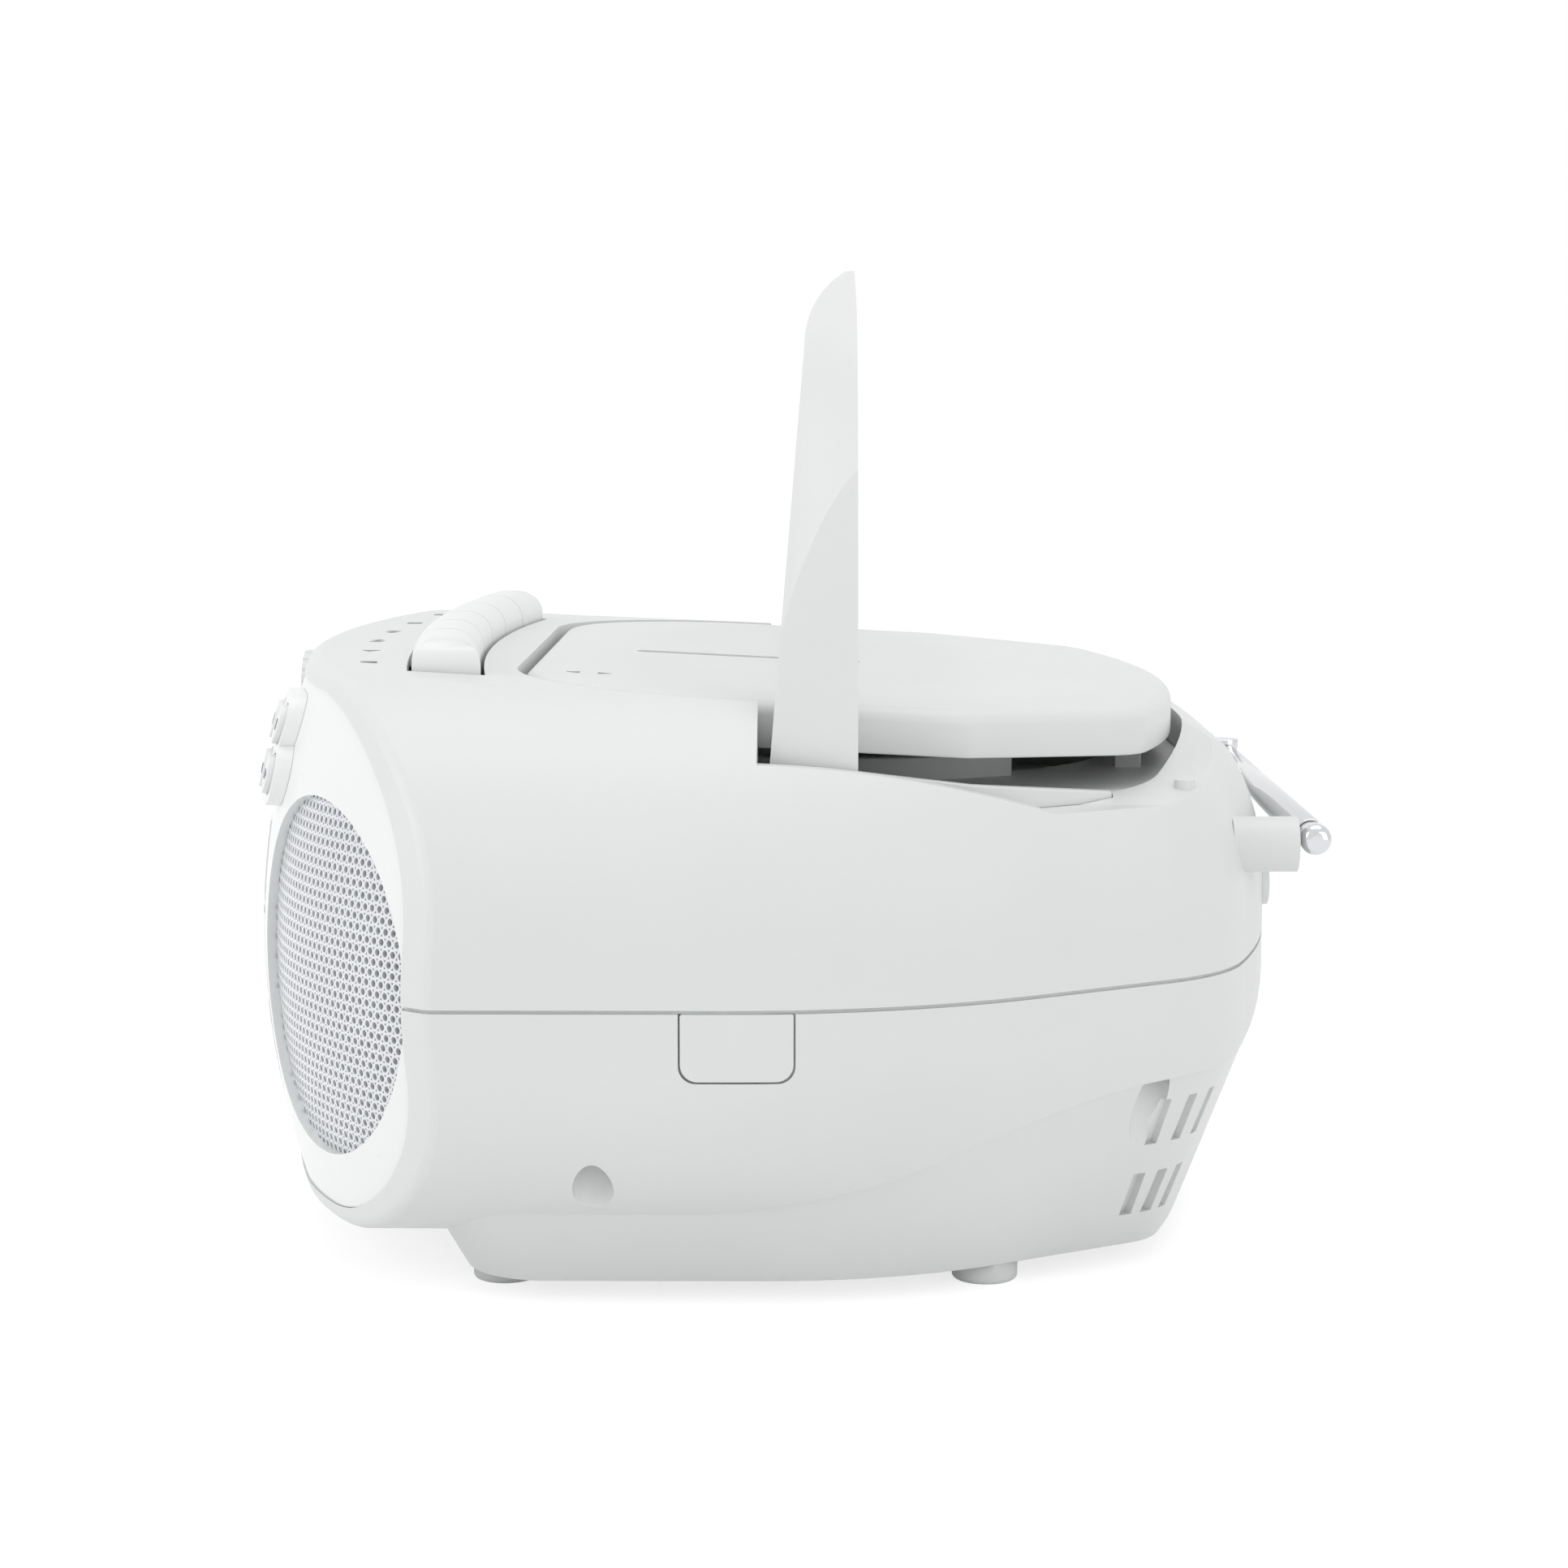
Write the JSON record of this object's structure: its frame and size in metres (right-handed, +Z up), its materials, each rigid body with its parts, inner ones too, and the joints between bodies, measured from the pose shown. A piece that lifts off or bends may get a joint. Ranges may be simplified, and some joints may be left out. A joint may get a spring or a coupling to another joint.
{
  "type": "portable radio",
  "caption": "Rounded white portable radio with disc player under a hinged top lid, cassette door, speaker grilles, push keys, telescopic aerial and folding carrying handle.",
  "frame": {"origin": "middle of the overall box at the underside of the feet", "axes": "+X to the right seen from the front, front faces -Y, +Z up"},
  "size_m": [0.276, 0.2407, 0.214],
  "materials": {
    "cabinet_white": "moulded, fine satin",
    "panel_white": "moulded, smooth",
    "trim_silver": "moulded, satin",
    "button_grey": "moulded, satin",
    "grille_metal": "perforated sheet, painted",
    "speaker_steel": "pressed steel",
    "cone_paper": "pressed paper",
    "smoked_clear": "clear moulded",
    "lcd_grey": "display glass",
    "board_green": "circuit board",
    "aerial_chrome": "polished plating",
    "foot_rubber": "moulded",
    "belt_rubber": "moulded",
    "contact_metal": "nickel plated",
    "black_plastic": "moulded",
    "core_steel": "sheet steel",
    "wheel_brass": "turned"
  },
  "bodies": {
    "cabinet": {"upper_cabinet": "cabinet_white", "lower_cabinet": "cabinet_white", "front_panel": "panel_white", "side_cover": "cabinet_white", "grille_left": "grille_metal", "grille_right": "grille_metal", "speaker_baffles": "button_grey", "disc_tray": "cabinet_white", "speaker_frame_left": "speaker_steel", "speaker_frame_right": "speaker_steel", "speaker_cone_left": "cone_paper", "speaker_cone_right": "cone_paper", "hinge_pins": "contact_metal", "control_pod": "trim_silver", "display_window": "smoked_clear", "lcd_module": "lcd_grey", "control_board": "board_green", "feet": "foot_rubber", "battery_contacts": "contact_metal", "mains_inlet": "black_plastic", "headphone_socket": "black_plastic", "main_board": "board_green", "power_transformer": "core_steel", "cd_deck": "black_plastic", "spindle_motor": "core_steel", "cassette_chassis": "black_plastic", "tape_head": "core_steel", "cassette_motor": "core_steel", "drive_belt": "belt_rubber", "cabinet_screws": "contact_metal"},
    "handle": {"handle": "cabinet_white"},
    "cd_lid": {"cd_lid": "cabinet_white"},
    "cassette_door": {"cassette_door": "panel_white", "cassette_window": "smoked_clear"},
    "key_pause": {"key_pause": "panel_white"},
    "key_stop": {"key_stop": "panel_white"},
    "key_fast_forward": {"key_fast_forward": "panel_white"},
    "key_rewind": {"key_rewind": "panel_white"},
    "key_play": {"key_play": "panel_white"},
    "key_record": {"key_record": "panel_white"},
    "cd_play_button": {"cd_play_button": "button_grey"},
    "cd_stop_button": {"cd_stop_button": "button_grey"},
    "cd_back_button": {"cd_back_button": "button_grey"},
    "cd_forward_button": {"cd_forward_button": "button_grey"},
    "volume_knob": {"volume_knob": "trim_silver"},
    "tuning_knob": {"tuning_knob": "trim_silver"},
    "function_slider": {"function_slider": "button_grey"},
    "band_slider": {"band_slider": "button_grey"},
    "aerial_turret": {"aerial_turret": "aerial_chrome"},
    "aerial_tube": {"aerial_tube": "aerial_chrome"},
    "aerial_section_2": {"aerial_section_2": "aerial_chrome"},
    "aerial_section_3": {"aerial_section_3": "aerial_chrome"},
    "aerial_tip": {"aerial_tip": "aerial_chrome"},
    "battery_door": {"battery_door": "cabinet_white"},
    "cd_turntable": {"cd_turntable": "black_plastic"},
    "cd_pickup": {"cd_pickup": "black_plastic"},
    "reel_spindle_left": {"reel_spindle_left": "black_plastic"},
    "reel_spindle_right": {"reel_spindle_right": "black_plastic"},
    "flywheel": {"flywheel": "wheel_brass"},
    "motor_pulley": {"motor_pulley": "wheel_brass"}
  },
  "joints": [
    {"name": "handle_fold", "type": "hinge", "parent": "cabinet", "child": "handle", "pos_m": [0, 0.01065, 0.11], "axis": [-1, 0, 0], "range_deg": [0, 84]},
    {"name": "cd_lid_hinge", "type": "hinge", "parent": "cabinet", "child": "cd_lid", "pos_m": [0, 0.07965, 0.1125], "axis": [-1, 0, 0], "range_deg": [0, 20]},
    {"name": "cassette_door_hinge", "type": "hinge", "parent": "cabinet", "child": "cassette_door", "pos_m": [0, -0.10335, 0.028], "axis": [1, 0, 0], "range_deg": [0, 18]},
    {"name": "key_pause_press", "type": "slide", "parent": "cabinet", "child": "key_pause", "axis": [0, 0, -1], "range_m": [0, 0.005], "stiffness_N_per_m": 200, "springref_m": -0.003},
    {"name": "key_stop_press", "type": "slide", "parent": "cabinet", "child": "key_stop", "axis": [0, 0, -1], "range_m": [0, 0.005], "stiffness_N_per_m": 200, "springref_m": -0.003},
    {"name": "key_fast_forward_press", "type": "slide", "parent": "cabinet", "child": "key_fast_forward", "axis": [0, 0, -1], "range_m": [0, 0.005], "stiffness_N_per_m": 200, "springref_m": -0.003},
    {"name": "key_rewind_press", "type": "slide", "parent": "cabinet", "child": "key_rewind", "axis": [0, 0, -1], "range_m": [0, 0.005], "stiffness_N_per_m": 200, "springref_m": -0.003},
    {"name": "key_play_press", "type": "slide", "parent": "cabinet", "child": "key_play", "axis": [0, 0, -1], "range_m": [0, 0.005], "stiffness_N_per_m": 200, "springref_m": -0.003},
    {"name": "key_record_press", "type": "slide", "parent": "cabinet", "child": "key_record", "axis": [0, 0, -1], "range_m": [0, 0.005], "stiffness_N_per_m": 200, "springref_m": -0.003},
    {"name": "cd_play_button_press", "type": "slide", "parent": "cabinet", "child": "cd_play_button", "axis": [0, 1, 0], "range_m": [0, 0.001], "stiffness_N_per_m": 500, "springref_m": -0.001},
    {"name": "cd_stop_button_press", "type": "slide", "parent": "cabinet", "child": "cd_stop_button", "axis": [0, 1, 0], "range_m": [0, 0.001], "stiffness_N_per_m": 500, "springref_m": -0.001},
    {"name": "cd_back_button_press", "type": "slide", "parent": "cabinet", "child": "cd_back_button", "axis": [0, 1, 0], "range_m": [0, 0.001], "stiffness_N_per_m": 500, "springref_m": -0.001},
    {"name": "cd_forward_button_press", "type": "slide", "parent": "cabinet", "child": "cd_forward_button", "axis": [0, 1, 0], "range_m": [0, 0.001], "stiffness_N_per_m": 500, "springref_m": -0.001},
    {"name": "volume_knob_turn", "type": "hinge", "parent": "cabinet", "child": "volume_knob", "pos_m": [-0.057, -0.10735, 0.112], "axis": [0, -1, 0], "range_deg": [-150, 150]},
    {"name": "tuning_knob_turn", "type": "hinge", "parent": "cabinet", "child": "tuning_knob", "pos_m": [-0.08, -0.10735, 0.108], "axis": [0, -1, 0], "range_deg": [-150, 150]},
    {"name": "function_slider_move", "type": "slide", "parent": "cabinet", "child": "function_slider", "axis": [1, 0, 0], "range_m": [-0.003, 0.003]},
    {"name": "band_slider_move", "type": "slide", "parent": "cabinet", "child": "band_slider", "axis": [1, 0, 0], "range_m": [-0.003, 0.003]},
    {"name": "aerial_swivel", "type": "hinge", "parent": "cabinet", "child": "aerial_turret", "pos_m": [-0.078, 0.11695, 0.092], "axis": [0, -1, 0], "range_deg": [0, 180]},
    {"name": "aerial_tilt", "type": "hinge", "parent": "aerial_turret", "child": "aerial_tube", "pos_m": [-0.078, 0.11695, 0.092], "axis": [0, 0, 1], "range_deg": [0, 90]},
    {"name": "aerial_section_2_pull", "type": "slide", "parent": "aerial_tube", "child": "aerial_section_2", "axis": [1, 0, 0], "range_m": [0, 0.126]},
    {"name": "aerial_section_3_pull", "type": "slide", "parent": "aerial_section_2", "child": "aerial_section_3", "axis": [1, 0, 0], "range_m": [0, 0.125]},
    {"name": "aerial_tip_pull", "type": "slide", "parent": "aerial_section_3", "child": "aerial_tip", "axis": [1, 0, 0], "range_m": [0, 0.125]},
    {"name": "battery_door_hinge", "type": "hinge", "parent": "cabinet", "child": "battery_door", "pos_m": [0, -0.03435, 0.0058], "axis": [-1, 0, 0], "range_deg": [0, 75]},
    {"name": "cd_turntable_spin", "type": "hinge", "parent": "cabinet", "child": "cd_turntable", "pos_m": [0, 0.01665, 0.095], "axis": [0, 0, 1], "continuous": true},
    {"name": "cd_pickup_travel", "type": "slide", "parent": "cabinet", "child": "cd_pickup", "axis": [1, 0, 0], "range_m": [0, 0.022]},
    {"name": "reel_spindle_left_spin", "type": "hinge", "parent": "cabinet", "child": "reel_spindle_left", "pos_m": [-0.02125, -0.10035, 0.055], "axis": [0, 1, 0], "continuous": true},
    {"name": "reel_spindle_right_spin", "type": "hinge", "parent": "cabinet", "child": "reel_spindle_right", "pos_m": [0.02125, -0.10035, 0.055], "axis": [0, 1, 0], "continuous": true},
    {"name": "flywheel_spin", "type": "hinge", "parent": "cabinet", "child": "flywheel", "pos_m": [0.026, -0.09035, 0.086], "axis": [0, 1, 0], "continuous": true},
    {"name": "motor_pulley_spin", "type": "hinge", "parent": "cabinet", "child": "motor_pulley", "pos_m": [-0.022, -0.08935, 0.058], "axis": [0, 1, 0], "continuous": true}
  ],
  "couplings": [
    {"joint": "motor_pulley_spin", "follows": "flywheel_spin", "ratio": 3.3333}
  ]
}
